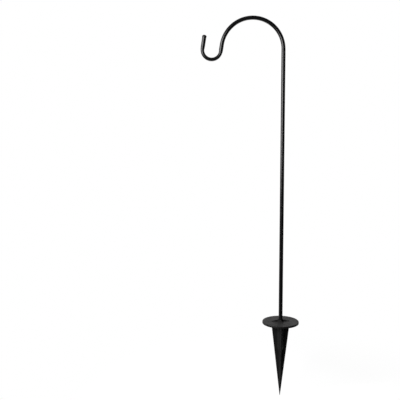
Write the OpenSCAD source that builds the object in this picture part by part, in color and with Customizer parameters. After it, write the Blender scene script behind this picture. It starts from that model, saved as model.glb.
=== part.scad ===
// Shepherds hook: a bent steel tube with a rounded end plug, standing in a moulded ground spike.
// The soil line is z = 0, the spike goes down into -Z, and the crook bends over towards -X.

/* [Hook tube] */
// Outside diameter of the steel tube
tube_d = 9.5; // [8:0.1:13]
// Wall thickness of the steel tube
tube_wall = 0.9; // [0.6:0.1:1.5]
// Height of the large bend's centre above the soil
crook_height = 636.5; // [400:0.5:1000]
// Inside diameter of the large bend
crook_inner_d = 130; // [100:1:200]
// Degrees that the large bend turns through
crook_turn = 171; // [160:1:178]
// Straight arm between the large bend and the hanging seat
arm_len = 15; // [5:1:60]
// Inside diameter of the hanging seat's bend
seat_inner_d = 32; // [24:1:60]
// Degrees that the hanging seat turns back through
seat_turn = 180; // [160:1:190]
// Straight end beyond the hanging seat, up to the plug's head
tip_len = 26; // [14:1:60]
// Break of the sharp edge at the tube's foot
foot_chamfer = 0.4; // [0.2:0.1:0.5]
// How much each face of the wall draws in where the tube is bent
bend_neck = 0.02; // [0.01:0.01:0.1]
// How far a straight laps into the bend next to it
bend_lap = 0.1; // [0.05:0.05:0.5]

/* [Tip plug] */
// How far the plug's rounded head stands out past the tube all round
head_lip = 0.45; // [0.2:0.05:1]
// Height of the straight band round the head
head_band = 1.6; // [0.8:0.1:4]
// Rise of the dome on the head
dome_rise = 3.2; // [1.5:0.1:4.5]
// Length of the stem inside the tube
stem_len = 11; // [8:0.5:14]
// Number of grip rings round the stem
ring_count = 4; // [2:1:5]
// Height of each grip ring
ring_h = 1.2; // [0.8:0.1:1.5]
// Depth of the groove between the grip rings
ring_depth = 0.45; // [0.2:0.05:0.8]
// Radial clearance of the grip rings in the tube
plug_clear = 0.05; // [0.02:0.01:0.2]

/* [Flange] */
// Outside diameter of the flange that beds on the soil
flange_d = 86; // [70:1:120]
// Thickness of the flange's plate
plate_t = 2.4; // [1.8:0.1:4]
// Height of the whole flange, from the rim's lower edge to its top
rim_h = 4.5; // [4.2:0.1:10]
// Wall of the turned-down rim
rim_wall = 2.2; // [1.6:0.1:4]
// Rounding of the flange's upper edge
rim_round = 1.2; // [0.5:0.1:1.6]
// Number of stiffening ribs under the plate
rib_count = 8; // [4:4:12]
// Thickness of each stiffening rib
rib_t = 1.6; // [1:0.1:3]
// How far the ribs stay above the rim's lower edge
rib_lift = 0.5; // [0.3:0.1:1]

/* [Collar] */
// Height of the collar that stands on the flange round the tube
collar_h = 5; // [3:0.5:15]
// Wall of the collar at its top
collar_wall = 1.3; // [1:0.1:3]
// How far the collar widens all round, down to the flange
collar_draft = 0.3; // [0.1:0.1:0.8]
// Flat left on the collar's top outside the cone that leads in
mouth_lip = 0.5; // [0.3:0.1:0.9]
// Depth of the cone that leads into the socket
mouth_depth = 1.5; // [0.8:0.1:2.5]
// Thickness of each of the four gussets that brace the collar
gusset_t = 2; // [1:0.1:3]
// How far the gussets start below the collar's top
gusset_drop = 0.8; // [0.3:0.1:2]
// Height of the gussets at their outer ends, over the blades' edges
gusset_end_h = 0.6; // [0.3:0.1:2]

/* [Spike] */
// Length of the spike below the soil line
spike_len = 179.5; // [120:0.5:300]
// Width across two opposite blades at the soil line
blade_w = 43.5; // [30:0.5:60]
// Thickness of a blade at its root, at the soil line
blade_root_t = 3.8; // [3:0.1:6]
// Thickness of a blade at its rounded outer edge, at the soil line
blade_edge_t = 2.2; // [1.4:0.1:3]
// Diameter of the blunt point
point_w = 1.2; // [0.8:0.1:1.4]
// Depth of the socket below the collar's top
socket_depth = 65; // [40:1:90]
// Thickness of the socket's wall at the flange
socket_wall = 3.4; // [2:0.1:5]
// Draft of the socket's wall: how much its diameter loses on the way down
socket_draft = 1.4; // [0.5:0.1:2]
// Thickness of the socket's floor
floor_t = 4; // [2:0.5:8]
// Length of the taper from the socket down to the core
core_taper = 12; // [6:1:20]
// Diameter of the core where that taper ends
core_d = 7; // [5:0.5:9]

/* [Fits] */
// Radial clearance of the tube in its socket
socket_clear = 0.05; // [0.02:0.01:0.1]
// Gap left between the tube's foot and the socket's floor
foot_gap = 0.3; // [0.1:0.1:1]

/* [Hidden] */
$fn = 96;
eps = 0.01;

tube_r = tube_d / 2;
tube_bore_r = tube_r - tube_wall;
crook_r = crook_inner_d / 2 + tube_r;
seat_r = seat_inner_d / 2 + tube_r;

// The socket is measured down from the collar's top, and the tube's foot stands on its floor
collar_top_z = rim_h + collar_h;
socket_floor_z = collar_top_z - socket_depth;
foot_z = socket_floor_z + foot_gap;
socket_r = tube_r + socket_clear;
socket_d = 2 * (socket_r + socket_wall);
socket_end_d = socket_d - socket_draft;
socket_end_z = socket_floor_z - floor_t;
collar_r = socket_r + collar_wall;
mouth_r = collar_r - mouth_lip;

// The dome is a slice of a sphere that meets the head's band at its full diameter
head_d = tube_d + 2 * head_lip;
dome_r = (head_d * head_d / 4 + dome_rise * dome_rise) / (2 * dome_rise);
ring_r = tube_bore_r - plug_clear;
stem_r = ring_r - ring_depth;
ring_pitch = stem_len / ring_count;

plate_bottom_z = rim_h - plate_t;

// Straight length of tube, from the origin up, which laps into the bends before and after it
module tube_run(len, lap_before = bend_lap, lap_after = bend_lap) {
    translate([0, 0, -lap_before]) difference() {
        cylinder(h = len + lap_before + lap_after, r = tube_r);
        translate([0, 0, -eps])
            cylinder(h = len + lap_before + lap_after + 2 * eps, r = tube_bore_r);
    }
}

// Bend of the tube that starts at the origin going up and turns towards -X
module tube_bend(r, turn) {
    translate([-r, 0, 0]) rotate([90, 0, 0])
        rotate_extrude(angle = turn)
            translate([r, 0]) difference() {
                circle(r = tube_r - bend_neck);
                circle(r = tube_bore_r + bend_neck);
            }
}

// Puts its children at the end of such a bend, going on along the tube
module past_bend(r, turn) {
    translate([-r, 0, 0]) rotate([0, -turn, 0]) translate([r, 0, 0]) children();
}

// Start of the hanging seat: past the large bend and the arm, turned to bend the other way
module at_seat() {
    translate([0, 0, crook_height]) past_bend(crook_r, crook_turn)
        translate([0, 0, arm_len]) mirror([1, 0, 0]) children();
}

// Open end of the tube, where the plug goes in
module at_tip() {
    at_seat() past_bend(seat_r, seat_turn) translate([0, 0, tip_len]) children();
}

// Foot of the tube, with its outer edge broken so that it starts into the socket
module tube_foot() {
    difference() {
        union() {
            cylinder(h = foot_chamfer, r1 = tube_r - foot_chamfer, r2 = tube_r);
            translate([0, 0, foot_chamfer]) cylinder(h = foot_chamfer, r = tube_r);
        }
        translate([0, 0, -eps]) cylinder(h = 2 * foot_chamfer + 2 * eps, r = tube_bore_r);
    }
}

module hook_tube() {
    color([0.07, 0.07, 0.07]) {
        translate([0, 0, foot_z]) tube_foot();
        translate([0, 0, foot_z + 2 * foot_chamfer])
            tube_run(crook_height - foot_z - 2 * foot_chamfer, lap_before = 0);
        translate([0, 0, crook_height]) {
            tube_bend(crook_r, crook_turn);
            past_bend(crook_r, crook_turn) tube_run(arm_len);
        }
        at_seat() {
            tube_bend(seat_r, seat_turn);
            past_bend(seat_r, seat_turn) tube_run(tip_len, lap_after = 0);
        }
    }
}

// Head with a domed top, its flat underside at the origin
module plug_head() {
    cylinder(h = head_band, d = head_d);
    translate([0, 0, head_band]) intersection() {
        translate([0, 0, dome_rise - dome_r]) sphere(r = dome_r);
        cylinder(h = 2 * dome_rise, d = 2 * head_d);
    }
}

module tip_plug() {
    color([0.1, 0.1, 0.1]) at_tip() {
        plug_head();
        translate([0, 0, -stem_len]) cylinder(h = stem_len, r = stem_r);
        for (i = [0 : ring_count - 1])
            translate([0, 0, -ring_pitch * (i + 0.5) - ring_h / 2])
                cylinder(h = ring_h, r = ring_r);
    }
}

// Flange: a plate with a rounded upper edge and a turned-down rim
module flange() {
    rotate_extrude() {
        difference() {
            square([flange_d / 2 - rim_round, rim_h]);
            translate([-rim_wall, -rim_h]) square([flange_d / 2, rim_h + plate_bottom_z]);
        }
        translate([flange_d / 2 - rim_round, 0]) square([rim_round, rim_h - rim_round]);
        translate([flange_d / 2 - rim_round, rim_h - rim_round]) intersection() {
            circle(r = rim_round);
            square(rim_round);
        }
    }
}

// Ribs that stiffen the plate between the socket and the rim
module flange_ribs() {
    for (i = [0 : rib_count - 1])
        rotate([0, 0, i * 360 / rib_count])
            translate([0, -rib_t / 2, rib_lift])
                cube([flange_d / 2 - rim_wall / 2, rib_t, plate_bottom_z - rib_lift + plate_t / 2]);
}

// Collar round the tube's way in, drafted so that it leaves its mould
module collar() {
    translate([0, 0, plate_bottom_z])
        cylinder(h = plate_t, r = collar_r + collar_draft);
    translate([0, 0, rim_h]) cylinder(h = collar_h, r1 = collar_r + collar_draft, r2 = collar_r);
}

// Four gussets in line with the blades, falling from the collar to the blades' outer edges
module gussets() {
    for (turn = [0 : 90 : 270])
        rotate([0, 0, turn]) rotate([90, 0, 0])
            linear_extrude(height = gusset_t, center = true)
                polygon([[0, plate_bottom_z], [blade_w / 2, plate_bottom_z],
                         [blade_w / 2, rim_h + gusset_end_h],
                         [collar_r, collar_top_z - gusset_drop], [0, collar_top_z - gusset_drop]]);
}

// Pair of opposite blades in the XZ plane: round outer edges, faces drafted from the root out,
// and every size tapering to the blunt point
module blade_pair() {
    top = plate_bottom_z + plate_t / 2;
    // The tapers carry on above the soil line, so that the blades root in the plate
    grow = 1 + top / spike_len;
    root_r = (point_w + (blade_root_t - point_w) * grow) / 2;
    edge_r = (point_w + (blade_edge_t - point_w) * grow) / 2;
    edge_x = (point_w + (blade_w - point_w) * grow) / 2 - edge_r;
    hull($fn = 32) {
        translate([0, 0, -spike_len]) cylinder(h = eps, d = point_w);
        translate([0, 0, top - eps]) cylinder(h = eps, r = root_r);
        for (side = [-1, 1])
            translate([side * edge_x, 0, top - eps]) cylinder(h = eps, r = edge_r);
    }
}

// Socket's wall, closed below, and the core that runs on from it to the point
module socket_body() {
    translate([0, 0, socket_end_z])
        cylinder(h = plate_bottom_z - socket_end_z, d1 = socket_end_d, d2 = socket_d);
    translate([0, 0, socket_end_z - core_taper])
        cylinder(h = core_taper, d1 = core_d, d2 = socket_end_d);
    translate([0, 0, -spike_len])
        cylinder(h = spike_len + socket_end_z - core_taper, d1 = point_w, d2 = core_d);
}

module ground_spike() {
    color([0.13, 0.13, 0.13]) difference() {
        union() {
            flange();
            flange_ribs();
            collar();
            gussets();
            blade_pair();
            rotate([0, 0, 90]) blade_pair();
            socket_body();
        }
        translate([0, 0, socket_floor_z]) cylinder(h = 2 * socket_depth, r = socket_r);
        translate([0, 0, collar_top_z - mouth_depth])
            cylinder(h = mouth_depth + eps, r1 = socket_r, r2 = mouth_r);
    }
}

hook_tube();
tip_plug();
ground_spike();
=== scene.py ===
# %% [markdown]
# # A shepherds hook in three pieces
# A garden hook for a lantern or a feeder is a short list of parts: one bent steel tube with a gloss black
# powder coat, one small plastic plug in its open end, and one moulded ground spike with a round flange. Each
# is made here as a skin over closed rings: a formula gives every ring as an array of points, and one function
# joins the rings into a mesh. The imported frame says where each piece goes, so no piece is placed by eye.

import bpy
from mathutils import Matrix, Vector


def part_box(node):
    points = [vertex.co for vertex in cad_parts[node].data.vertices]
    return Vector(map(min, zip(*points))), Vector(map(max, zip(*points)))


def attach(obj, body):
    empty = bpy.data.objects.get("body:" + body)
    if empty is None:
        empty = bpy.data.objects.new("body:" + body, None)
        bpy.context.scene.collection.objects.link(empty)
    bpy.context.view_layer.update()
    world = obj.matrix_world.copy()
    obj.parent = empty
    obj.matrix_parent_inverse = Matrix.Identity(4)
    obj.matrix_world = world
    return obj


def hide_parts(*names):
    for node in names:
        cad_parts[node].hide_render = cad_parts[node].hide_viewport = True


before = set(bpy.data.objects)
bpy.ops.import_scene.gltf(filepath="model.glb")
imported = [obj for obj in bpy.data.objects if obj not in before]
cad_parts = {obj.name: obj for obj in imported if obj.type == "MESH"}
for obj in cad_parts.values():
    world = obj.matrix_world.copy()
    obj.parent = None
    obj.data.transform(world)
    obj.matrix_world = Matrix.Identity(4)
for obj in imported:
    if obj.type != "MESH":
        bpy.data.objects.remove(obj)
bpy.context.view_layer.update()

# %% Other modules and the unit
from math import radians

import bpy
import numpy as np
from mathutils import Matrix, Vector

MM = 0.001
print("1 mm is", MM, "of Blender's units")

# %% [markdown]
# ## The camera
# The photograph looks a little down on the hook from its left. A camera that stands 1.58 m in front of the
# tube, 8 degrees down, with a 62 mm lens on a 36 mm sensor, puts the tube, the flange's ellipse and the crook
# where the photograph has them, to about a pixel. A third of a degree of roll, round the camera's own Z axis,
# levels the last of it. A camera can be dragged into place by hand, but numbers in a matrix can be fitted to
# edges measured in the photograph.

# %% Camera
LENS, SENSOR_WIDTH = 62.02, 36.0
CAMERA_PLACE = Vector((-189.5, -1579.8, 517.8)) * MM
LEVEL, CAMERA_DOWN, CAMERA_ROLL = radians(90), radians(8), radians(-0.32)

camera = bpy.data.objects.new("camera", bpy.data.cameras.new("camera"))
camera.data.lens = LENS
camera.data.sensor_width = SENSOR_WIDTH
camera.matrix_world = (
    Matrix.Translation(CAMERA_PLACE)
    @ Matrix.Rotation(LEVEL - CAMERA_DOWN, 4, "X")
    @ Matrix.Rotation(CAMERA_ROLL, 4, "Z")
)
bpy.context.scene.collection.objects.link(camera)
bpy.context.scene.camera = camera
print("camera", LENS, "mm at", [round(x, 3) for x in CAMERA_PLACE])

# %% [markdown]
# ## One function makes every mesh
# A tube, a plug and a spike look different, but each is a stack of closed rings. The function takes the stack
# as one array, with a ring in each row, and joins every point to the next point of its ring and of the next
# ring. A stack whose ends meet, such as a pipe's outside and bore, closes on itself; any other stack ends in
# two poles. Blender's own Screw and curve tools make such stacks too, but here every point's formula stays in
# reach.

# %% Skin over rings
SMOOTH_UNDER = radians(32)


def skin_over_rings(name, rings, poles=None):
    """A closed mesh over rings, an array of rows x columns x 3 in millimetres.

    Face (i, j) joins points j and j + 1 of ring i to the same points of ring i + 1. Without poles, the last
    ring joins the first one. With poles, a fan of triangles runs from each end ring to its pole. The signed
    volume, a sixth of the sum of a . (b x c) over the triangles, tells whether the faces point outwards.
    """
    rows, columns = rings.shape[:2]
    points = rings.reshape(-1, 3)
    here = np.arange(rows * columns).reshape(rows, columns)
    beside = np.roll(here, -1, axis=1)
    last = rows - 1 if poles is not None else rows
    above, above_beside = np.roll(here, -1, axis=0), np.roll(beside, -1, axis=0)
    quads = np.stack([here, beside, above_beside, above], axis=-1)[:last].reshape(-1, 4)
    faces = quads.tolist()
    triangles = np.concatenate([quads[:, [0, 1, 2]], quads[:, [0, 2, 3]]])
    if poles is not None:
        points = np.concatenate([points, poles])
        first_pole, last_pole = rows * columns, rows * columns + 1
        start = np.stack([beside[0], here[0], np.full(columns, first_pole)], axis=-1)
        end = np.stack([here[-1], beside[-1], np.full(columns, last_pole)], axis=-1)
        faces += start.tolist() + end.tolist()
        triangles = np.concatenate([triangles, start, end])
    a, b, c = (points[triangles[:, k]] for k in range(3))
    volume = np.einsum("ij,ij->i", a, np.cross(b, c)).sum() / 6
    if volume < 0:
        faces = [face[::-1] for face in faces]
    mesh = bpy.data.meshes.new(name)
    mesh.from_pydata((points * MM).tolist(), [], faces)
    mesh.shade_smooth()
    mesh.set_sharp_from_angle(angle=SMOOTH_UNDER)
    piece = bpy.data.objects.new(name, mesh)
    bpy.context.scene.collection.objects.link(piece)
    print(f"{name}: {len(points)} points, {len(faces)} faces, {abs(volume) / 1000:.2f} cm3")
    return piece


# %% Sizes that the frame gives
tube_low, tube_high = (np.array(corner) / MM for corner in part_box("hook_tube"))
spike_low, spike_high = (np.array(corner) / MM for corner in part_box("ground_spike"))

TUBE_R = (tube_high[1] - tube_low[1]) / 2
FOOT_Z = tube_low[2]
FLANGE_R = (spike_high[1] - spike_low[1]) / 2
POINT_Z = spike_low[2]
COLLAR_TOP_Z = spike_high[2]
print("tube radius", round(TUBE_R, 3), "foot", round(FOOT_Z, 2), "point", round(POINT_Z, 2))
print("flange radius", round(FLANGE_R, 3), "collar top", round(COLLAR_TOP_Z, 2))

# %% [markdown]
# ## The bent tube
# The real hook starts as a straight steel tube that a bending machine turns round two formers. Its centreline
# is five pieces with a constant curvature each: pole, large bend, short arm, hanging seat, tip. Adding
# curvature up along the length gives the heading, and each piece then has a closed formula for its points, so
# a route is exact at any spacing. A curve with a round bevel would draw this tube in one step. Computed rings
# were chosen instead, because they also give it a wall, a bent tube's slight flattening and places to rub.

# %% Route of the centreline
CROOK_INNER_R, SEAT_INNER_R = 65.0, 16.0
CROOK_TURN, SEAT_TURN = radians(171), radians(180)
ARM_LEN, TIP_LEN = 15.0, 26.0
# Where four of the five pieces stand in these lists; the short arm is never looked up by itself
POLE, LARGE_BEND, SEAT, TIP = 0, 1, 3, 4

crook_r, seat_r = CROOK_INNER_R + TUBE_R, SEAT_INNER_R + TUBE_R
pole_len = tube_high[2] - TUBE_R - crook_r - FOOT_Z
piece_len = np.array([pole_len, crook_r * CROOK_TURN, ARM_LEN, seat_r * SEAT_TURN, TIP_LEN])
piece_bend = np.array([0, 1 / crook_r, 0, -1 / seat_r, 0])
piece_start = np.concatenate([[0], np.cumsum(piece_len)])
piece_turn = np.concatenate([[0], np.cumsum(piece_len * piece_bend)])
route_len = piece_start[-1]


def along_piece(length, turn, bend):
    """Where a piece of that constant bend has got to after length, having started with that turn: x and z.

    Straight: length times the heading. Bent: the heading's sine and cosine integrate to a circle's. The
    heading is straight up at turn 0 and leans towards -X as the turn grows.
    """
    if bend == 0:
        return -length * np.sin(turn), length * np.cos(turn)
    end = turn + bend * length
    return (np.cos(end) - np.cos(turn)) / bend, (np.sin(end) - np.sin(turn)) / bend


def route(distance):
    """Centreline at distances from the foot: x and z of its points, and how far the heading has turned there.

    Each piece adds the step that along_piece gives for the part of it that lies before the distance.
    """
    x, z, turned = np.zeros_like(distance), np.full_like(distance, FOOT_Z), np.zeros_like(distance)
    for start, length, turn, bend in zip(piece_start, piece_len, piece_turn, piece_bend):
        inside = np.clip(distance - start, 0, length)
        step_x, step_z = along_piece(inside, turn, bend)
        x, z, turned = x + step_x, z + step_z, turned + inside * bend
    return x, z, turned


tip_x, tip_z, tip_turn = (value[0] for value in route(np.array([route_len])))
print("tube runs", round(route_len, 1), "mm, to x", round(tip_x, 2), "z", round(tip_z, 2))

# %% Section of the tube
TUBE_COLUMNS = 72
BEND_FLATTENING, FLATTEN_OVER = 0.13, 12.0
LARGE_BEND_SHARE, SEAT_SHARE = 0.2, 1.0


def flattening(distance):
    """Share by which the section is flattened: it rises over FLATTEN_OVER at each end of a bend.

    It rises by a smooth step, which for a ramp t is t squared times (3 - 2 t). The tight bend of the seat
    flattens the whole share, and the large bend a fifth of it.
    """
    share = np.zeros_like(distance)
    for bent, amount in ((LARGE_BEND, LARGE_BEND_SHARE), (SEAT, SEAT_SHARE)):
        start, length = piece_start[bent], piece_len[bent]
        depth = np.minimum(distance - start, start + length - distance)
        ramp = np.clip(depth / FLATTEN_OVER + 0.5, 0, 1)
        share = np.maximum(share, amount * ramp * ramp * (3 - 2 * ramp))
    return BEND_FLATTENING * share


def tube_rings(distance, radius):
    """Rings of that radius round the centreline, drawn in across the bend where the tube is flattened.

    A point is centre + r (cos a) normal + r (sin a) Y, with the normal in the plane of the bends. Where the
    section loses a share across the bend, it gains about a third of it along Y, because the tube's girth
    stays the same.
    """
    angle = np.linspace(0, 2 * np.pi, TUBE_COLUMNS, endpoint=False)
    x, z, turned = route(distance)
    squeeze = flattening(distance)
    across = (radius * (1 - squeeze))[:, None] * np.cos(angle)
    level = (radius * (1 + squeeze / 3))[:, None] * np.sin(angle)
    x = x[:, None] + across * np.cos(turned)[:, None]
    z = z[:, None] + across * np.sin(turned)[:, None]
    return np.stack([x, level, z], axis=-1)


seat_middle = piece_start[SEAT] + piece_len[SEAT] / 2
print("flattened in the seat by", round(float(flattening(np.array([seat_middle]))[0]), 3))

# %% Tube as one skin
TUBE_WALL, FOOT_BREAK, END_BREAK = 0.9, 0.4, 0.15
PIECE_RINGS = (60, 150, 10, 72, 16)

rings_from, rings_to = piece_start[:-1].copy(), piece_start[1:].copy()
rings_from[POLE], rings_to[TIP] = FOOT_BREAK, route_len - END_BREAK
outside = np.unique(np.concatenate([np.linspace(*span) for span in zip(rings_from, rings_to, PIECE_RINGS)]))
foot_ring, end_ring = np.array([0.0]), np.array([route_len])
tube_distance = np.concatenate([foot_ring, outside, end_ring, end_ring, outside[::-1], foot_ring])
tube_radius = np.concatenate(
    [
        [TUBE_R - FOOT_BREAK],
        np.full(len(outside), TUBE_R),
        [TUBE_R - END_BREAK, TUBE_R - TUBE_WALL + END_BREAK],
        np.full(len(outside), TUBE_R - TUBE_WALL),
        [TUBE_R - TUBE_WALL],
    ]
)
tube = skin_over_rings("bent_tube", tube_rings(tube_distance, tube_radius))

# %% [markdown]
# ## The tip plug
# A push-in plug closes the cut end, so that no sharp edge shows and no rain gets in. It is turned round one
# axis, so its whole shape is a profile of radius against height: stem with grip rings, a head a little wider
# than the tube, and a dome with the small round dimple that moulding leaves. A Screw modifier would turn the
# profile too. As an array it can also be leaned over, so that the object itself stays unturned at the origin.

# %% Plug profile
HEAD_LIP, HEAD_BAND, DOME_RISE, DOME_RINGS = 0.45, 1.6, 3.2, 14
STEM_LEN, RING_COUNT, RING_DEPTH, RING_CLEAR = 11.0, 4, 0.45, 0.05
BAND_BREAK, STEM_BREAK = 0.25, 0.4
DIMPLE_R, DIMPLE_DEPTH, DIMPLE_FLOOR = 0.9, 0.12, 0.85
# One grip ring: how far it stands out, as a share of its depth, and its height, as a share of the pitch
GRIP_RING = np.array([[0, 0.25], [1, 0.3], [1, 0.62], [0, 0.75]])

head_r = TUBE_R + HEAD_LIP
dome_r = (head_r**2 + DOME_RISE**2) / (2 * DOME_RISE)
grip_r = TUBE_R - TUBE_WALL - RING_CLEAR
stem_r = grip_r - RING_DEPTH

dome_angle = np.linspace(np.arcsin(head_r / dome_r), np.arcsin(DIMPLE_R / dome_r), DOME_RINGS)
dome_height = HEAD_BAND + DOME_RISE - dome_r + dome_r * np.cos(dome_angle)
dome_profile = np.stack([dome_r * np.sin(dome_angle), dome_height], axis=-1)
pitch = STEM_LEN / RING_COUNT
ring_starts = np.stack([np.full(RING_COUNT, stem_r), np.arange(RING_COUNT) * pitch - STEM_LEN], axis=-1)
grip_rings = GRIP_RING[None] * [grip_r - stem_r, pitch] + ring_starts[:, None]
plug_profile = np.concatenate(
    [
        [[stem_r - STEM_BREAK, -STEM_LEN], [stem_r, STEM_BREAK - STEM_LEN]],
        grip_rings.reshape(-1, 2),
        [[stem_r, 0], [head_r - BAND_BREAK, 0], [head_r, BAND_BREAK]],
        dome_profile,
        [[DIMPLE_R * DIMPLE_FLOOR, dome_profile[-1, 1] - DIMPLE_DEPTH]],
    ]
)
print("plug head", round(2 * head_r, 2), "mm across, dome radius", round(dome_r, 2))

# %% Plug in the tube's end
PLUG_COLUMNS = 64


def spun(profile, columns):
    """Rings of a profile of (radius, height) rows turned round Z: x and y are radius times cos and sin."""
    angle = np.linspace(0, 2 * np.pi, columns, endpoint=False)
    radius, height = profile[:, :1], np.repeat(profile[:, 1:], columns, axis=1)
    return np.stack([radius * np.cos(angle), radius * np.sin(angle), height], axis=-1)


def at_tube_end(points):
    """Points that stand on the plane z = 0, moved to the tube's end and leaned as far as the route turns.

    Leaning by an angle t in the XZ plane takes (x, z) to (x cos t - z sin t, x sin t + z cos t).
    """
    x, y, z = np.moveaxis(points, -1, 0)
    cos, sin = np.cos(tip_turn), np.sin(tip_turn)
    return np.stack([tip_x + x * cos - z * sin, y, tip_z + x * sin + z * cos], axis=-1)


plug_poles = np.array([[0, 0, -STEM_LEN], [0, 0, plug_profile[-1, 1]]])
plug_rings = at_tube_end(spun(plug_profile, PLUG_COLUMNS))
plug = skin_over_rings("tip_plug_moulding", plug_rings, at_tube_end(plug_poles))

# %% [markdown]
# ## The ground spike
# The spike is one injection moulding: a blunt point, four drafted blades round a core and a socket, a round
# flange with a turned-down rim and ribs under it, and on top a collar with four gussets. It could be put
# together from cones and wedges with Booleans, but those leave slivers where a blade runs into a cone. So all
# of it is one skin. Its rings start at the point, climb the blades, run out along the flange's underside,
# round the rim, in again over the top, up the gussets and the collar, and down the socket to its floor. The
# hard part is the blades' section.

# %% Section of four blades round a core
CAP_ANGLES = np.radians([0, 21, 43, 51, 70, 89])
FACE_STEPS = np.array([0.04, 0.2, 0.4, 0.6, 0.8, 0.95])
HOLLOW_STEPS = np.linspace(0, 1, 5)
ARC_STEPS = np.array([0.25, 0.5, 0.75])
RIB_COLUMNS = 4
SECTOR_COLUMNS = len(CAP_ANGLES) + len(FACE_STEPS) + len(HOLLOW_STEPS) + len(ARC_STEPS) + RIB_COLUMNS
LAST_RAY = radians(41)
CAP_OFFSETS = np.sin(CAP_ANGLES[:RIB_COLUMNS])
# A rib in the gap stays narrower than this, as a sine and as a share of the gap, where the core is thin
RIB_SINE_LIMIT, RIB_GAP_LIMIT = 0.7, 0.8


def fan(centre_x, centre_y, radius, angle):
    """Points of a circle, with x and y last: the centre plus the radius times each angle's cos and sin."""
    return np.stack([centre_x + radius * np.cos(angle), centre_y + radius * np.sin(angle)], axis=-1)


def blade_sector(reach, root, edge, core, hollow):
    """An eighth of the section, from a blade's middle at 0 degrees to the middle of the gap at 45 degrees.

    All five sizes are columns of numbers, one for each ring: how far the blade reaches, half its thickness at
    the root and at the edge, the core's radius, and the radius of the hollow between blade and core. The
    blade's edge is a circle of radius edge. Its face is the line that touches that circle and the root's
    circle, so its draft d has sin d = (root - edge) / (reach - edge). The hollow's circle touches the face,
    and its centre lies core + hollow from the axis, or on the ray at LAST_RAY where that would leave no core
    between two hollows.
    """
    draft = np.arcsin(np.clip((root - edge) / (reach - edge), -1, 1))
    face_x, face_y = np.cos(draft), -np.sin(draft)
    out_x, out_y = np.sin(draft), np.cos(draft)
    cap = fan(reach - edge, 0, edge, CAP_ANGLES[None, :] * (np.pi / 2 - draft) / (np.pi / 2))
    lift = root + hollow
    ray = lift / np.cos(np.pi / 2 - draft - LAST_RAY)
    along = np.sqrt(np.maximum(np.maximum((core + hollow) ** 2, ray**2) - lift**2, 0))
    middle_x, middle_y = lift * out_x + along * face_x, lift * out_y + along * face_y
    middle_far, middle_turn = np.hypot(middle_x, middle_y), np.arctan2(middle_y, middle_x)
    face_from, face_to = (reach - edge) * np.cos(draft), along
    run = face_from + (face_to - face_from) * FACE_STEPS[None, :]
    face = np.stack([root * out_x + run * face_x, root * out_y + run * face_y], axis=-1)
    from_turn, to_turn = -np.pi / 2 - draft, middle_turn - np.pi
    sweep = from_turn + (to_turn - from_turn) * HOLLOW_STEPS[None, :]
    valley = fan(middle_x, middle_y, hollow, sweep)
    core_r, span = middle_far - hollow, np.pi / 4 - middle_turn
    rib_sine = np.clip(edge * CAP_OFFSETS[-1] / core_r, 0, RIB_SINE_LIMIT)
    rib = np.minimum(np.arcsin(rib_sine), RIB_GAP_LIMIT * span)
    arc_turn = middle_turn + (span - rib) * ARC_STEPS[None, :]
    rib_turn = np.pi / 4 - rib * CAP_OFFSETS[None, ::-1] / CAP_OFFSETS[-1]
    arc = fan(0, 0, core_r, np.concatenate([arc_turn, rib_turn], axis=1))
    return np.concatenate([cap, face, valley, arc], axis=1)


def column(values):
    """A list of numbers as a column, so that it pairs with a row of steps."""
    return np.atleast_1d(np.asarray(values, float))[:, None]


def round_sector(radius, rib_half):
    """The same eighth as an arc of a circle, with the first and last columns as far apart as a rib is thick.

    A point that lies a distance d from a rib's middle line has an angle whose sine is d / radius. The columns
    between the two ribs are spread evenly over the angle that is left.
    """
    rib = np.arcsin(rib_half * CAP_OFFSETS[None, :] / CAP_OFFSETS[-1] / radius)
    between = np.linspace(0, 1, SECTOR_COLUMNS - 2 * RIB_COLUMNS + 2)[None, 1:-1]
    middle = rib[:, -1:] + (np.pi / 4 - 2 * rib[:, -1:]) * between
    return fan(0, 0, radius, np.concatenate([rib, middle, np.pi / 4 - rib[:, ::-1]], axis=1))


print("columns in an eighth:", SECTOR_COLUMNS)

# %% Sizes of the moulding
BLADE_W, BLADE_ROOT_T, BLADE_EDGE_T, POINT_W = 43.5, 3.8, 2.2, 1.2
SOCKET_CLEAR, SOCKET_WALL, SOCKET_DRAFT = 0.05, 3.4, 0.7
FOOT_GAP, FLOOR_T, CORE_TAPER, CORE_R = 0.3, 4.0, 12.0, 3.5
PLATE_T, RIM_H, RIM_WALL, RIM_ROUND = 2.4, 4.5, 2.2, 1.2

socket_r = TUBE_R + SOCKET_CLEAR
socket_floor_z = FOOT_Z - FOOT_GAP
socket_end_z = socket_floor_z - FLOOR_T
taper_end_z = socket_end_z - CORE_TAPER
plate_z = RIM_H - PLATE_T
print("socket floor", round(socket_floor_z, 2), "core from", round(taper_end_z, 2), "plate at", plate_z)

# %% Blades and core up to the flange
BLEND_R, BLEND_ANGLES = 1.2, np.radians([0, 20, 40, 60, 75, 90])
HOLLOW_R, HOLLOW_SHARE, SMALLEST_HOLLOW = 1.0, 0.1, 0.05
SHORTEST_CROSS = 10.0
LOWER_RINGS, MIDDLE_RINGS, UPPER_RINGS = 46, 9, 24


def core_radius(z):
    """Radius of the core at heights z: a slim cone, a steeper one, then the socket's own wall."""
    top = socket_r + SOCKET_WALL
    heights = [POINT_Z, taper_end_z, socket_end_z, plate_z]
    return np.interp(z, heights, [POINT_W / 2, CORE_R, top - SOCKET_DRAFT, top])


def flare(gap, radius):
    """How far a wall has swung out at a gap short of the plate, where a round of that radius joins the two.

    The round is a quarter circle: at a height h into it, the wall stands radius - sqrt(radius^2 - h^2)
    further out.
    """
    near = np.clip(radius - gap, 0, radius)
    return radius - np.sqrt(radius**2 - near**2)


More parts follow.
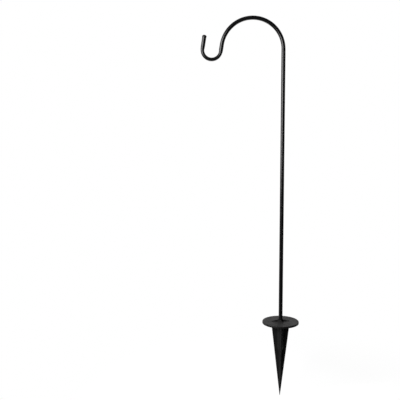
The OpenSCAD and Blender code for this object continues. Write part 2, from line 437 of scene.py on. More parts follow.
def blade_rings(z):
    """Sectors of the blades at heights z. Every width falls in a straight line to the blunt point's."""
    share = (z - POINT_Z) / -POINT_Z
    swing = flare(plate_z - z, BLEND_R)
    widths = (BLADE_W, BLADE_ROOT_T, BLADE_EDGE_T)
    reach, root, edge = (column(POINT_W / 2 + (full - POINT_W) / 2 * share + swing) for full in widths)
    hollow = np.clip(HOLLOW_SHARE * column(share) * BLADE_W / 2, SMALLEST_HOLLOW, HOLLOW_R)
    return blade_sector(reach, root, edge, column(core_radius(z) + swing), hollow)


cross_z = POINT_Z + SHORTEST_CROSS
lower_z = np.linspace(cross_z, taper_end_z, LOWER_RINGS)
middle_z = np.linspace(taper_end_z, socket_end_z, MIDDLE_RINGS)
upper_z = np.linspace(socket_end_z, plate_z - BLEND_R, UPPER_RINGS)
blend_z = plate_z - BLEND_R * (1 - np.sin(BLEND_ANGLES))
blade_z = np.unique(np.concatenate([lower_z, middle_z, upper_z, blend_z]))
blades = blade_rings(blade_z)
print("blade rings:", len(blade_z), "widest", round(float(np.abs(blades).max()), 2), "mm")

# %% [markdown]
# The skin now leaves the blades and runs out under the flange. Between the star-shaped outline and a circle,
# a ring is a straight mix of the two, point by point. The ribs need no pieces of their own: the first and
# last columns of each eighth keep a rib's distance from its middle line, and wherever a ring would lie above
# the ribs' lower edge, those columns stay down at it. The next column out takes the step, so each rib gets
# two steep, drafted sides.

# %% Underside, ribs and rim
RIB_HALF, RIB_LIFT, RIB_STEP = 0.9, 0.5, 0.05
EDGE_BREAK, INNER_CORNER = 0.3, 0.6
CORNER_RINGS, ROUND_RINGS = 4, 9
ROOT_GAP, ROOT_RINGS = 3.2, 5
# How far the flat rings keep off the root circle and inner wall below, and off the edge and circle above
UNDER_KEEP, TOP_KEEP, FLAT_RINGS = (3.0, 0.9), (4.0, 2.0), 5

root_reach = BLADE_W / 2 + ROOT_GAP
inner_r = FLANGE_R - RIM_WALL
rib_columns = np.zeros(SECTOR_COLUMNS, bool)
rib_columns[: RIB_COLUMNS - 1] = rib_columns[-RIB_COLUMNS + 1 :] = True


def quarter_turn(radius, height, turn_from, turn_to, steps, size):
    """A rounded corner as (radius, height) rows: points of a circle between two angles in degrees."""
    turn = np.radians(np.linspace(turn_from, turn_to, steps))
    return np.stack([radius + size * np.cos(turn), height + size * np.sin(turn)], axis=-1)


def flat_run(radius_from, radius_to, height):
    """A flat stretch as (radius, height) rows, in equal steps at one height."""
    return np.stack([np.linspace(radius_from, radius_to, FLAT_RINGS), np.full(FLAT_RINGS, height)], axis=-1)


def with_height(sectors, height):
    """Sectors with x and y, given the height of each ring as a third number."""
    level = np.broadcast_to(column(height), sectors.shape[:2])
    return np.concatenate([sectors, level[..., None]], axis=-1)


def spread(inner, outer, steps):
    """Rings from one outline to another in equal steps, without the first: inner (1 - s) + outer s."""
    share = np.linspace(0, 1, steps + 1)[1:, None, None]
    return inner[None] * (1 - share) + outer[None] * share


inner_profile = np.concatenate(
    [
        flat_run(root_reach + UNDER_KEEP[0], inner_r - UNDER_KEEP[1], plate_z),
        quarter_turn(inner_r - INNER_CORNER, plate_z - INNER_CORNER, 90, 0, CORNER_RINGS, INNER_CORNER),
        [[inner_r, RIB_LIFT + RIB_STEP], [inner_r, RIB_LIFT - RIB_STEP]],
    ]
)
outer_profile = np.concatenate(
    [
        quarter_turn(inner_r + EDGE_BREAK, EDGE_BREAK, 180, 270, CORNER_RINGS, EDGE_BREAK),
        quarter_turn(FLANGE_R - EDGE_BREAK, EDGE_BREAK, 270, 360, CORNER_RINGS, EDGE_BREAK),
        [[FLANGE_R, (RIM_H - RIM_ROUND + EDGE_BREAK) / 2]],
        quarter_turn(FLANGE_R - RIM_ROUND, RIM_H - RIM_ROUND, 0, 90, ROUND_RINGS, RIM_ROUND),
        flat_run(FLANGE_R - TOP_KEEP[0], root_reach + TOP_KEEP[1], RIM_H),
    ]
)
profiles = (inner_profile, outer_profile)
inner_rim, outer_rim = (with_height(round_sector(rows[:, :1], RIB_HALF), rows[:, 1]) for rows in profiles)
root_circle = round_sector(column([root_reach]), RIB_HALF)[0]
under_plate = with_height(spread(blades[-1], root_circle, ROOT_RINGS), [plate_z] * ROOT_RINGS)
under = np.concatenate([with_height(blades, blade_z), under_plate, inner_rim])
lowered = np.minimum(under[..., 2], RIB_LIFT)
under[..., 2] = np.where(rib_columns[None, :], lowered, under[..., 2])
print("underside rings:", len(under), "rim and top rings:", len(outer_rim))

# %% [markdown]
# Over the flange, four gussets brace the collar that the tube stands in. Wedges set against a cone would
# meet it in a hard line, so the same section function makes them, with a small hollow where they join: they
# are four short blades round a wide core, the collar. On the way up they shorten, and near the collar's top
# their outline fades into its circle, so that the last rings are round and can turn over the lip into the
# socket.

# %% Gussets and collar
COLLAR_WALL, COLLAR_DRAFT = 1.3, 0.3
GUSSET_HALF, GUSSET_DROP, GUSSET_END_H, GUSSET_HOLLOW = 1.0, 0.8, 0.6, 0.8
GUSSET_BLEND, GUSSET_ANGLES = 0.7, np.radians([0, 15, 30, 45, 60, 75])
SHORTEST_GUSSET, FIRST_STEP, FADE_PAST = 2.2, 0.15, 0.1
GUSSET_RINGS, FADE_RINGS, OVER_RINGS = 14, 5, 5

collar_r = socket_r + COLLAR_WALL
gusset_top_z = COLLAR_TOP_Z - GUSSET_DROP
gusset_foot_z = RIM_H + GUSSET_END_H


def gusset_rings(z):
    """Sectors of the collar and gussets at heights z: the gussets shorten evenly on the way up."""
    swing = flare(z - RIM_H, GUSSET_BLEND)
    reach = np.interp(z, [RIM_H, gusset_foot_z, gusset_top_z], [BLADE_W / 2, BLADE_W / 2, collar_r])
    core = np.interp(z, [RIM_H, COLLAR_TOP_Z], [collar_r + COLLAR_DRAFT, collar_r])
    half, hollow = column(GUSSET_HALF + swing), column(np.full(len(z), GUSSET_HOLLOW))
    return blade_sector(column(reach + swing), half, half, column(core + swing), hollow)


reach_per_mm = (BLADE_W / 2 - collar_r) / (gusset_top_z - gusset_foot_z)
short_z = gusset_top_z - SHORTEST_GUSSET / reach_per_mm
foot_z = RIM_H + GUSSET_BLEND * (1 - np.cos(GUSSET_ANGLES))
rising_z = np.linspace(gusset_foot_z + FIRST_STEP, short_z, GUSSET_RINGS)
gusset_z = np.unique(np.concatenate([foot_z, [gusset_foot_z], rising_z]))
gusset_sectors = gusset_rings(gusset_z)
gussets = with_height(gusset_sectors, gusset_z)
over = spread(outer_rim[-1, :, :2], gusset_sectors[0], OVER_RINGS)[:-1]
over_plate = with_height(over, [RIM_H] * len(over))

stub = gusset_sectors[-1]
stub_turn = np.arctan2(stub[:, 1], stub[:, 0])[None, :]
fade = np.linspace(0, 1, FADE_RINGS + 1)[1:, None]
fade_z = short_z + (gusset_top_z + FADE_PAST - short_z) * fade
fade_r = np.hypot(stub[:, 0], stub[:, 1])[None, :] * (1 - fade) + collar_r * fade
faded = with_height(fan(0, 0, fade_r, stub_turn), fade_z[:, 0])
print("gusset rings:", len(gussets), "fading into the collar:", len(faded))

# %% Mouth and socket
MOUTH_LIP, MOUTH_DEPTH = 0.5, 1.5
LIP_BREAK, FLOOR_CORNER = 0.2, 0.4
SOCKET_RINGS_Z = (2, -20, -40)

wall_foot_z = socket_floor_z + FLOOR_CORNER
mouth_profile = np.concatenate(
    [
        quarter_turn(collar_r - LIP_BREAK, COLLAR_TOP_Z - LIP_BREAK, 0, 90, CORNER_RINGS, LIP_BREAK),
        [[collar_r - MOUTH_LIP, COLLAR_TOP_Z], [socket_r, COLLAR_TOP_Z - MOUTH_DEPTH]],
        [[socket_r, z] for z in (*SOCKET_RINGS_Z, wall_foot_z)],
        quarter_turn(socket_r - FLOOR_CORNER, wall_foot_z, 0, -90, CORNER_RINGS, FLOOR_CORNER),
        [[socket_r / 2, socket_floor_z]],
    ]
)
mouth = with_height(fan(0, 0, mouth_profile[:, :1], stub_turn), mouth_profile[:, 1])
print("mouth and socket rings:", len(mouth))

# %% Blunt point and the whole moulding
POINT_ROUND, POINT_FLAT_R = 0.35, 0.12
POINT_RINGS, CROSS_RINGS = 5, 7

point_turn = np.linspace(0, np.pi / 4, SECTOR_COLUMNS)[None, :]
corner_r, corner_z = POINT_W / 2 - POINT_ROUND, POINT_Z + POINT_ROUND
point_corner = quarter_turn(corner_r, corner_z, -90, 0, POINT_RINGS, POINT_ROUND)
point_profile = np.concatenate([[[POINT_FLAT_R, POINT_Z]], point_corner])
point = with_height(fan(0, 0, point_profile[:, :1], point_turn), point_profile[:, 1])
cross_rise = np.linspace(0, 1, CROSS_RINGS + 2)[1:-1]
cross_rings = point[-1, :, :2] * (1 - cross_rise[:, None, None]) + blades[0] * cross_rise[:, None, None]
cross_height = point_profile[-1, 1] + (cross_z - point_profile[-1, 1]) * cross_rise
point = np.concatenate([point, with_height(cross_rings, cross_height)])


def all_round(sectors):
    """Whole rings from sectors of an eighth: each is mirrored at 45 degrees, and the quarter turned 3 times.

    Mirroring on that line swaps x and y. The middle column of a gap and of a blade is kept only once.
    """
    mirrored = sectors[:, -2::-1][..., [1, 0, 2]]
    quarter = np.concatenate([sectors, mirrored], axis=1)[:, :-1]
    x, y, z = np.moveaxis(quarter, -1, 0)
    turns = [(x, y), (-y, x), (-x, -y), (y, -x)]
    return np.concatenate([np.stack([a, b, z], axis=-1) for a, b in turns], axis=1)


spike_rings = all_round(np.concatenate([point, under, outer_rim, over_plate, gussets, faded, mouth]))
spike_poles = np.array([[0, 0, POINT_Z], [0, 0, socket_floor_z]])
spike = skin_over_rings("spike_moulding", spike_rings, spike_poles)

# %% [markdown]
# ## Where hands and soil rub
# Wear isn't the same all over: it sits on the seat's inner curve, the plug's head, the blades' outer edges,
# the rim's edges, the collar's lip and the point. It could be painted by hand, vertex by vertex. A rule on
# each point's place does the same for all points at once, and follows when a size changes. The share, from 0
# in sheltered places to 1 on the most rubbed edge, is kept on the mesh as an attribute that the materials
# read.

# %% Rubbed places
# How far each rubbed place fades out, in millimetres
SEAT_RUB, PLUG_RUB, POINT_RUB = 11.0, 7.0, 9.0
BLADE_RUB, RIM_RUB, TOP_RUB, LIP_RUB = 1.1, 0.7, 1.3, 0.9
PLUG_SHARE, TOP_SHARE = 0.6, 0.8
# The seat's rub keeps to this part of the tube's width
SEAT_WIDTH = 0.9
# Height of the plug's rub over the tube's end, the top of the blades' rub, and slack at the rim's inner wall
PLUG_RUB_RISE, BLADE_RUB_TOP, WALL_SLACK = 2.0, 1.0, 0.1


def keep_rub(piece, amount):
    """Stores a share from 0 to 1 for each point of the piece as its attribute rub."""
    layer = piece.data.attributes.new("rub", "FLOAT", "POINT")
    layer.data.foreach_set("value", np.clip(amount, 0, 1).astype(np.float32))
    print(piece.name, "rubbed points:", int((amount > 0.5).sum()), "of", len(amount))


def places(piece):
    """The piece's points as an array in millimetres, as x, y and z."""
    flat = np.empty(3 * len(piece.data.vertices))
    piece.data.vertices.foreach_get("co", flat)
    return flat.reshape(-1, 3).T / MM


def near(value, target, reach):
    """1 where value is at target, falling in a straight line to 0 at reach away from it."""
    return np.clip(1 - np.abs(value - target) / reach, 0, 1)


x, y, z = places(tube)
seat_x, seat_z, _ = (value[0] for value in route(np.array([seat_middle])))
seat_gap = np.hypot(x - seat_x, z - seat_z - TUBE_R)
keep_rub(tube, near(seat_gap, 0, SEAT_RUB) * (np.abs(y) < TUBE_R * SEAT_WIDTH))

x, y, z = places(plug)
keep_rub(plug, near(np.hypot(x - tip_x, z - tip_z - PLUG_RUB_RISE), 0, PLUG_RUB) * PLUG_SHARE)

x, y, z = places(spike)
across, out = np.maximum(np.abs(x), np.abs(y)), np.hypot(x, y)
blade_reach = np.interp(z, [POINT_Z, 0], [POINT_W / 2, BLADE_W / 2])
blade_edge = near(across, blade_reach, BLADE_RUB) * (z < BLADE_RUB_TOP)
rim_edge = near(z, 0, RIM_RUB) * (out > inner_r - WALL_SLACK)
rim_top = near(np.hypot(out - FLANGE_R, z - RIM_H), 0, TOP_RUB) * TOP_SHARE
lip = near(np.hypot(out - collar_r, z - COLLAR_TOP_Z), 0, LIP_RUB)
keep_rub(spike, np.max([blade_edge, rim_edge, rim_top, lip, near(z, POINT_Z, POINT_RUB)], axis=0))

# %% [markdown]
# ## Three finishes from shared effects
# All three finishes are black, and what tells them apart is how light spreads on them: a sprayed and baked
# coat with a clear gloss and a faint orange peel, a fine satin on the small plug, and the dull, spark-eroded
# grain of the big moulding. Photographs of surfaces could be laid on them, but they would need seams and
# would blur up close. Patterns worked out from the place have neither fault. Grain, wear and dust occur on
# more than one finish, so each is a node group with its own inputs.

# %% Node helpers
def feed(tree, socket, value):
    """Links a socket's value into another socket, or sets that one to a plain value."""
    if isinstance(value, bpy.types.NodeSocket):
        tree.links.new(value, socket)
    else:
        socket.default_value = value


def add(tree, kind, **settings):
    """A node of that kind. Each setting is a property or, with _ for a space, a socket that is fed."""
    node = tree.nodes.new(kind)
    for name, value in settings.items():
        if hasattr(node, name):
            setattr(node, name, value)
        else:
            socket = next(s for s in node.inputs if s.name.replace(" ", "_") == name and s.enabled)
            feed(tree, socket, value)
    return node


def calc(tree, operation, a, b=0.0):
    """One step of arithmetic on two values or sockets."""
    node = add(tree, "ShaderNodeMath", operation=operation)
    feed(tree, node.inputs[0], a)
    feed(tree, node.inputs[1], b)
    return node.outputs[0]


def times(tree, a, b):
    """The product of two values or sockets."""
    return calc(tree, "MULTIPLY", a, b)


def plus(tree, a, b):
    """The sum of two values or sockets."""
    return calc(tree, "ADD", a, b)


def ramp(tree, value, low, high, to_low=0.0, to_high=1.0):
    """The value's range from low to high, taken smoothly to another range and held at its ends."""
    node = add(tree, "ShaderNodeMapRange", interpolation_type="SMOOTHSTEP")
    names = ("Value", "From Min", "From Max", "To Min", "To Max")
    for name, number in zip(names, (value, low, high, to_low, to_high)):
        feed(tree, node.inputs[name], number)
    return node.outputs["Result"]


def noise(tree, place, size_mm, detail=2.0, **settings):
    """Noise whose blotches are about size_mm apart, from 0 to 1."""
    node = add(tree, "ShaderNodeTexNoise", Vector=place, Scale=1 / (size_mm * MM), Detail=detail, **settings)
    return node.outputs[0]


def new_group(name, inputs, outputs):
    """An empty node group and the sockets of its two ends. Each input is given as (name, kind, default)."""
    tree = bpy.data.node_groups.new(name, "ShaderNodeTree")
    for label, kind, default in inputs:
        socket = tree.interface.new_socket(label, in_out="INPUT", socket_type=kind)
        if default is not None:
            socket.default_value = default
    for label in outputs:
        tree.interface.new_socket(label, in_out="OUTPUT", socket_type="NodeSocketFloat")
    return tree, tree.nodes.new("NodeGroupInput").outputs, tree.nodes.new("NodeGroupOutput").inputs


FLOAT, VECTOR = "NodeSocketFloat", "NodeSocketVector"
# Most of a noise's values lie here
MIDDLE = (0.3, 0.7)
print("group sockets:", FLOAT, VECTOR)

# %% [markdown]
# A mould cut by sparks leaves overlapping little craters. Two cell patterns of different sizes, each cell
# sunk to a rounded pit, look like that up close, and a slow wave under them is the unevenness that cooling
# plastic shows. Pressed into the mesh, pits this small would take millions of faces, so a bump shows them.

# %% Moulded grain
FINER, FINER_SHARE = 2.3, 0.45


def craters(tree, place, scale):
    """Distance to the nearest cell's middle, blended where cells meet, so that each is a rounded crater."""
    node = add(tree, "ShaderNodeTexVoronoi", feature="SMOOTH_F1", Vector=place, Scale=scale, Smoothness=0.6)
    return node.outputs[0]


grain, given, out = new_group(
    "moulded_grain",
    [("Place", VECTOR, None), ("Craters per metre", FLOAT, 2800.0), ("Waves per metre", FLOAT, 45.0)],
    ["Height", "Wave"],
)
coarse = craters(grain, given[0], given[1])
fine = craters(grain, given[0], times(grain, given[1], FINER))
pits = plus(grain, coarse, times(grain, fine, FINER_SHARE))
waves = add(grain, "ShaderNodeTexNoise", Vector=given[0], Scale=given[2], Detail=1.0).outputs[0]
feed(grain, out["Height"], pits)
feed(grain, out["Wave"], waves)
print("grain group:", len(grain.nodes), "nodes")

# %% [markdown]
# Handling wears edges first and flat faces only in short streaks. The rub attribute alone would look
# airbrushed, and noise alone would miss the edges, so the group multiplies the two. Over that it lays fine
# lines from noise that is stretched along Z, the way a garden stake is pushed in.

# %% Handling wear
# Sizes are in millimetres, and ranges are parts of a noise's 0 to 1
PATCH_SIZE, LINE_SIZE, AREA_SIZE, LINE_STRETCH = 2.6, 1.1, 38.0, 0.06
PATCH_RANGE, LINE_RANGE, AREA_RANGE = (0.38, 0.68), (0.6, 0.74), (0.42, 0.62)
LEAST_WEAR = 0.25

wear, given, out = new_group(
    "handling_wear",
    [("Place", VECTOR, None), ("Rub", FLOAT, 0.0), ("Amount", FLOAT, 1.0), ("Streaks", FLOAT, 0.2)],
    ["Mask"],
)
patches = ramp(wear, noise(wear, given[0], PATCH_SIZE, detail=4.0), *PATCH_RANGE)
edge = times(wear, given[1], plus(wear, times(wear, patches, 1 - LEAST_WEAR), LEAST_WEAR))
drawn = add(wear, "ShaderNodeMapping", Vector=given[0], Scale=(1.0, 1.0, LINE_STRETCH)).outputs[0]
lines = ramp(wear, noise(wear, drawn, LINE_SIZE, detail=3.0), *LINE_RANGE)
where = ramp(wear, noise(wear, given[0], AREA_SIZE, detail=1.0), *AREA_RANGE)
streaks = times(wear, times(wear, lines, where), given[3])
feed(wear, out["Mask"], times(wear, calc(wear, "MAXIMUM", edge, streaks), given[2]))
print("wear group:", len(wear.nodes), "nodes")

# %% [markdown]
# Dust settles where a surface faces up. A film has no thickness worth modelling, so it is a tint, which also
# dulls the coat a little. It reads the surface's own direction, never the camera's, so it stays put when the
# view turns.

# %% Dust film
UPWARD_RANGE, SPECK_RANGE = (0.15, 1.0), (0.35, 0.8)
SPECK_SIZE, DRIFT_SIZE, THINNEST, EVEN_DUST = 1.4, 22.0, 0.4, 0.5

dust, given, out = new_group("dust_film", [("Place", VECTOR, None), ("Amount", FLOAT, 0.1)], ["Mask"])
facing = add(dust, "ShaderNodeNewGeometry").outputs["Normal"]
upward = ramp(dust, add(dust, "ShaderNodeSeparateXYZ", Vector=facing).outputs["Z"], *UPWARD_RANGE)
specks = ramp(dust, noise(dust, given[0], SPECK_SIZE, detail=5.0), *SPECK_RANGE)
drift = ramp(dust, noise(dust, given[0], DRIFT_SIZE), *MIDDLE, to_low=THINNEST)
laid = times(dust, times(dust, upward, drift), plus(dust, specks, EVEN_DUST))
feed(dust, out["Mask"], times(dust, laid, given[1]))
print("dust group:", len(dust.nodes), "nodes")


# %% Material helpers
def new_material(name):
    """A material, its tree, its Principled shader, and the Object coordinates that its patterns read."""
    made = bpy.data.materials.new(name)
    made.use_nodes = True
    tree = made.node_tree
    return made, tree, tree.nodes["Principled BSDF"], tree.nodes.new("ShaderNodeTexCoord").outputs["Object"]


def use_group(tree, group, **settings):
    """A shared effect placed in a material with its own values; returns its outputs."""
    node = tree.nodes.new("ShaderNodeGroup")
    node.node_tree = group
    for name, value in settings.items():
        feed(tree, node.inputs[name.replace("_", " ")], value)
    return node.outputs


def tint(tree, share, low, high):
    """A colour between two, by a share. Each is a socket or three numbers."""
    node = tree.nodes.new("ShaderNodeMix")
    node.data_type = "RGBA"
    feed(tree, node.inputs["Factor"], share)
    sockets = [s for s in node.inputs if s.type == "RGBA"]
    for socket, value in zip(sockets, (low, high)):
        feed(tree, socket, value if isinstance(value, bpy.types.NodeSocket) else (*value, 1.0))
    return next(s for s in node.outputs if s.type == "RGBA")


def rub_of(tree):
    """The piece's rub attribute."""
    return add(tree, "ShaderNodeAttribute", attribute_name="rub").outputs["Fac"]


def dress(piece, material, shader, colour, roughness, height, depth):
    """Gives a finish its colour, roughness and bump, of that depth in metres, and puts it on the piece."""
    tree = material.node_tree
    feed(tree, shader.inputs["Base Color"], colour)
    feed(tree, shader.inputs["Roughness"], roughness)
    bump = add(tree, "ShaderNodeBump", Strength=1.0, Distance=depth, Height=height)
    feed(tree, shader.inputs["Normal"], bump.outputs[0])
    piece.data.materials.append(material)
    print(piece.name, "wears", material.name, "with", len(tree.nodes), "nodes")


# %% [markdown]
# Powder coat flows as it bakes and stops just short of flat. The orange peel it leaves is shallow, a few
# thousandths of a millimetre over cells of about 1 and 5 mm, so it softens a highlight's border and leaves
# the middle clear. The shader's coat layer could carry the gloss, but the real finish is a single layer, so
# a low roughness on the base carries it.

# %% Gloss black powder coat
COAT_DARK, COAT_LIGHT = (0.005, 0.005, 0.0054), (0.0066, 0.0066, 0.0072)
COAT_RUBBED, DUST_COLOUR = (0.014, 0.014, 0.0145), (0.165, 0.15, 0.15)
COAT_ROUGHNESS, COAT_DULLED = (0.19, 0.25), 0.25
SHADE_SIZE, GLOSS_SIZE, PEEL_SIZES = 18.0, 9.0, (1.0, 5.0)
PEEL_DEPTH, SLOW_PEEL = 6e-6, 1.5

coat, tree, shader, place = new_material("powder_coated_steel")
shade = tint(tree, noise(tree, place, SHADE_SIZE), COAT_DARK, COAT_LIGHT)
worn = use_group(tree, wear, Place=place, Rub=rub_of(tree), Amount=0.45, Streaks=0.12)["Mask"]
dusty = use_group(tree, dust, Place=place, Amount=0.05)["Mask"]
shade = tint(tree, dusty, tint(tree, worn, shade, COAT_RUBBED), DUST_COLOUR)
gloss = ramp(tree, noise(tree, place, GLOSS_SIZE, detail=3.0), *MIDDLE, *COAT_ROUGHNESS)
gloss = plus(tree, gloss, times(tree, plus(tree, worn, dusty), COAT_DULLED))
fine, slow = (noise(tree, place, size, detail=1.0) for size in PEEL_SIZES)
dress(tube, coat, shader, shade, gloss, plus(tree, fine, times(tree, slow, SLOW_PEEL)), PEEL_DEPTH)

# %% [markdown]
# The plug is soft polyethylene, pressed in by hand, so its dome is smooth with a satin bloom and a fine
# grain only. It is small enough to share the tube's black, but the change of gloss is what shows that
# another piece closes the tube.

# %% Plug plastic
PLUG_DARK, PLUG_LIGHT, PLUG_RUBBED = (0.007, 0.007, 0.007), (0.009, 0.009, 0.009), (0.02, 0.02, 0.02)
PLUG_ROUGHNESS, PLUG_DULLED, PLUG_GRAIN_DEPTH = (0.34, 0.42), 0.12, 8e-6

plug_plastic, tree, shader, place = new_material("black_plug_plastic")
grain_out = use_group(tree, grain, Place=place, Craters_per_metre=5200.0, Waves_per_metre=160.0)
worn = use_group(tree, wear, Place=place, Rub=rub_of(tree), Amount=0.5, Streaks=0.1)["Mask"]
dusty = use_group(tree, dust, Place=place, Amount=0.06)["Mask"]
shade = tint(tree, grain_out["Wave"], PLUG_DARK, PLUG_LIGHT)
shade = tint(tree, dusty, tint(tree, worn, shade, PLUG_RUBBED), DUST_COLOUR)
gloss = ramp(tree, grain_out["Wave"], *MIDDLE, *PLUG_ROUGHNESS)
gloss = plus(tree, gloss, times(tree, worn, PLUG_DULLED))
dress(plug, plug_plastic, shader, shade, gloss, grain_out["Height"], PLUG_GRAIN_DEPTH)

# %% [markdown]
# The spike is black polypropylene with a little regrind in it: charcoal, not jet, faintly mottled where the
# melt met itself, and dull from its grain. Its parting line runs down the outer edges of the two blades that
# lie along X. A ridge that stands out by less than a tenth of a millimetre isn't worth faces, so the bump
# that shows the grain draws it too.

# %% Spike plastic
SPIKE_DARK, SPIKE_LIGHT = (0.009, 0.0088, 0.0088), (0.0118, 0.0115, 0.0115)
SPIKE_RUBBED, FLOW_SIZE = (0.0138, 0.0134, 0.0134), 26.0
SPIKE_ROUGHNESS, SPIKE_POLISHED, SPIKE_SPECULAR = (0.58, 0.66), 0.1, 0.22
# Heights are in millimetres. The parting line fades out beside the XZ plane and fades in beside the axis
GRAIN_HEIGHT, SEAM_HEIGHT, WAVE_HEIGHT = 0.014, 0.06, 0.12
SEAM_OUT, SEAM_IN = (0.05 * MM, 0.16 * MM), (2.0 * MM, 5.0 * MM)

spike_plastic, tree, shader, place = new_material("moulded_spike_plastic")
grain_out = use_group(tree, grain, Place=place, Craters_per_metre=2800.0, Waves_per_metre=45.0)
flow = noise(tree, place, FLOW_SIZE, detail=4.0, Distortion=1.2)
worn = use_group(tree, wear, Place=place, Rub=rub_of(tree), Amount=0.7, Streaks=0.25)["Mask"]
dusty = use_group(tree, dust, Place=place, Amount=0.2)["Mask"]
shade = tint(tree, ramp(tree, flow, *MIDDLE), SPIKE_DARK, SPIKE_LIGHT)
shade = tint(tree, dusty, tint(tree, worn, shade, SPIKE_RUBBED), DUST_COLOUR)
gloss = ramp(tree, flow, *MIDDLE, *SPIKE_ROUGHNESS)
gloss = calc(tree, "SUBTRACT", gloss, times(tree, worn, SPIKE_POLISHED))
shader.inputs["Specular IOR Level"].default_value = SPIKE_SPECULAR

x, y, _ = add(tree, "ShaderNodeSeparateXYZ", Vector=place).outputs
seam = ramp(tree, calc(tree, "ABSOLUTE", y), *SEAM_OUT, 1.0, 0.0)
seam = times(tree, seam, ramp(tree, calc(tree, "ABSOLUTE", x), *SEAM_IN))
relief = plus(tree, times(tree, grain_out["Height"], GRAIN_HEIGHT), times(tree, seam, SEAM_HEIGHT))
relief = plus(tree, relief, times(tree, grain_out["Wave"], WAVE_HEIGHT))
dress(spike, spike_plastic, shader, shade, gloss, relief, MM)

# %% [markdown]
# ## The frame takes the pieces
# Every piece rides on a body of the frame and stands for the plain solid that the frame loaded. The tube and
# its plug turn together; the spike stays in the ground.
# Keyframes could turn the hook too, but pieces that ride on bodies are right at every pose.

# %% Bodies and stand-ins
for piece, body, node, finish in (
    (tube, "hook", "hook_tube", "powder_coated_steel"),
    (plug, "hook", "tip_plug", "black_plug_plastic"),
    (spike, "stake", "ground_spike", "moulded_spike_plastic"),
):
    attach(piece, body)
    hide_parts(node)
    print(piece.name, "rides on", body)

# %% [markdown]
# ## White room, one soft window
# The photograph is a product shot on pure white. A thin black object shows little of its own colour: what the
# eye reads is a soft window's reflection down the left of the tube, and the pale far wall at grazing angles.
# So there is one large soft light at the front left, 1.5 m from the tube and level with the crook. A far lamp
# was chosen over a near one because it lights the whole height more evenly.

# %% Soft light
# Places and sizes of the lamp are in metres
LAMP_PLACE, LAMP_AIM = Vector((-1.115, -1.004, 0.775)), Vector((0.0, 0.0, 0.775))
LAMP_WIDTH, LAMP_HEIGHT, LAMP_POWER = 1.4, 1.05, 31.0

lamp_data = bpy.data.lights.new("soft_window", "AREA")
lamp_data.shape = "RECTANGLE"
lamp_data.size, lamp_data.size_y = LAMP_WIDTH, LAMP_HEIGHT
lamp_data.energy = LAMP_POWER
lamp = bpy.data.objects.new("soft_window", lamp_data)
lamp_turn = (LAMP_AIM - LAMP_PLACE).to_track_quat("-Z", "Y")
lamp.matrix_world = Matrix.Translation(LAMP_PLACE) @ lamp_turn.to_matrix().to_4x4()
lamp.visible_camera = False
bpy.context.scene.collection.objects.link(lamp)
print("lamp", lamp_data.energy, "W,", lamp_data.size, "x", lamp_data.size_y, "m")

# %% [markdown]
# The world is one map of directions: white behind the hook, and nearly black in front of it, where a real
# studio would hang black cloth. A white sheet behind the hook could do that for one view, but the hook is
# looked at from all sides. The camera sees white everywhere, and so would anything looked at through glass.
# Gloss needs no case of its own, since a reflection that heads for the background finds it white on the same
# map.

# %% World
WORLD_FRONT, WHITE_FROM, WHITE_FULL = 0.01, 0.2, 0.7

world = bpy.data.worlds.new("white_room")
world.use_nodes = True
bpy.context.scene.world = world
tree = world.node_tree
rays = tree.nodes.new("ShaderNodeLightPath").outputs
heading = add(tree, "ShaderNodeSeparateXYZ", Vector=tree.nodes.new("ShaderNodeTexCoord").outputs["Generated"])
room = ramp(tree, heading.outputs["Y"], WHITE_FROM, WHITE_FULL, WORLD_FRONT, 1.0)
seen = calc(tree, "MAXIMUM", rays["Is Camera Ray"], rays["Is Transmission Ray"])
background = tree.nodes["Background"]
background.inputs["Color"].default_value = (1, 1, 1, 1)
feed(tree, background.inputs["Strength"], calc(tree, "MAXIMUM", room, seen))
print("world:", WORLD_FRONT, "in front, 1 behind, from Y", WHITE_FROM, "to", WHITE_FULL)

# %% [markdown]
# The floor lies just under the spike's point. Lamps could make it white, but they would then be too strong
# for the hook. So where the camera or a reflection sees it, it glows just enough to reach white where the
# lamp also lights it, and only the shadow stays below white. Further out from the spike's axis it is white
# alone.

# %% Floor
# Places and sizes of the floor are in metres
FLOOR_DROP = 0.0002
FLOOR_X, FLOOR_NEAR, FLOOR_FAR = 0.6, -0.06, 1.5
FLOOR_GREY, FLOOR_GLOW = 0.35, 0.82
WHITE_BEYOND = (0.25, 0.5)

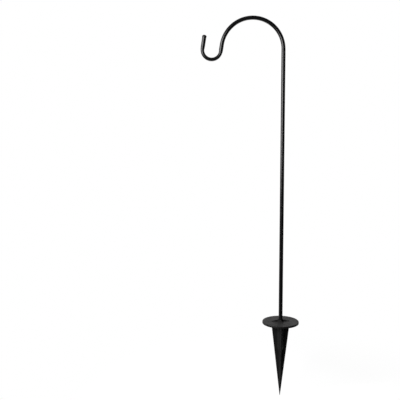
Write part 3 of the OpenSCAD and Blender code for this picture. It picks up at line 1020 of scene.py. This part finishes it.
floor_z = POINT_Z * MM - FLOOR_DROP
floor_mesh = bpy.data.meshes.new("floor")
corners = [(-FLOOR_X, FLOOR_NEAR), (FLOOR_X, FLOOR_NEAR), (FLOOR_X, FLOOR_FAR), (-FLOOR_X, FLOOR_FAR)]
floor_mesh.from_pydata([(a, b, floor_z) for a, b in corners], [], [(0, 1, 2, 3)])
floor = bpy.data.objects.new("floor", floor_mesh)
bpy.context.scene.collection.objects.link(floor)
print("floor at", round(floor_z, 4), "m")


# %% White floor paper
def mix_shaders(tree, share, low, high):
    """A mix of two shaders by a share."""
    node = tree.nodes.new("ShaderNodeMixShader")
    for socket, value in zip(node.inputs, (share, low.outputs[0], high.outputs[0])):
        feed(tree, socket, value)
    return node


paper = bpy.data.materials.new("white_floor")
paper.use_nodes = True
tree = paper.node_tree
tree.nodes.remove(tree.nodes["Principled BSDF"])
rays = tree.nodes.new("ShaderNodeLightPath").outputs
flat = add(tree, "ShaderNodeVectorMath", operation="MULTIPLY")
feed(tree, flat.inputs[0], tree.nodes.new("ShaderNodeTexCoord").outputs["Object"])
feed(tree, flat.inputs[1], (1, 1, 0))
away = add(tree, "ShaderNodeVectorMath", operation="LENGTH")
feed(tree, away.inputs[0], flat.outputs["Vector"])
matte = add(tree, "ShaderNodeBsdfDiffuse", Color=(FLOOR_GREY, FLOOR_GREY, FLOOR_GREY, 1))
glow = add(tree, "ShaderNodeEmission", Strength=FLOOR_GLOW)
white = add(tree, "ShaderNodeEmission", Strength=1.0)
lit = add(tree, "ShaderNodeAddShader")
feed(tree, lit.inputs[0], matte.outputs[0])
feed(tree, lit.inputs[1], glow.outputs[0])
shown = mix_shaders(tree, ramp(tree, away.outputs["Value"], *WHITE_BEYOND), lit, white)
seen = calc(tree, "MAXIMUM", rays["Is Camera Ray"], rays["Is Transmission Ray"])
seen = calc(tree, "MAXIMUM", seen, rays["Is Glossy Ray"])
surface = mix_shaders(tree, seen, matte, shown)
feed(tree, tree.nodes["Material Output"].inputs["Surface"], surface.outputs[0])
floor_mesh.materials.append(paper)
print("floor paper:", len(tree.nodes), "nodes")

# %% [markdown]
# The colours are shown plainly, with no film look.

# %% View settings
bpy.context.scene.view_settings.view_transform = "Standard"
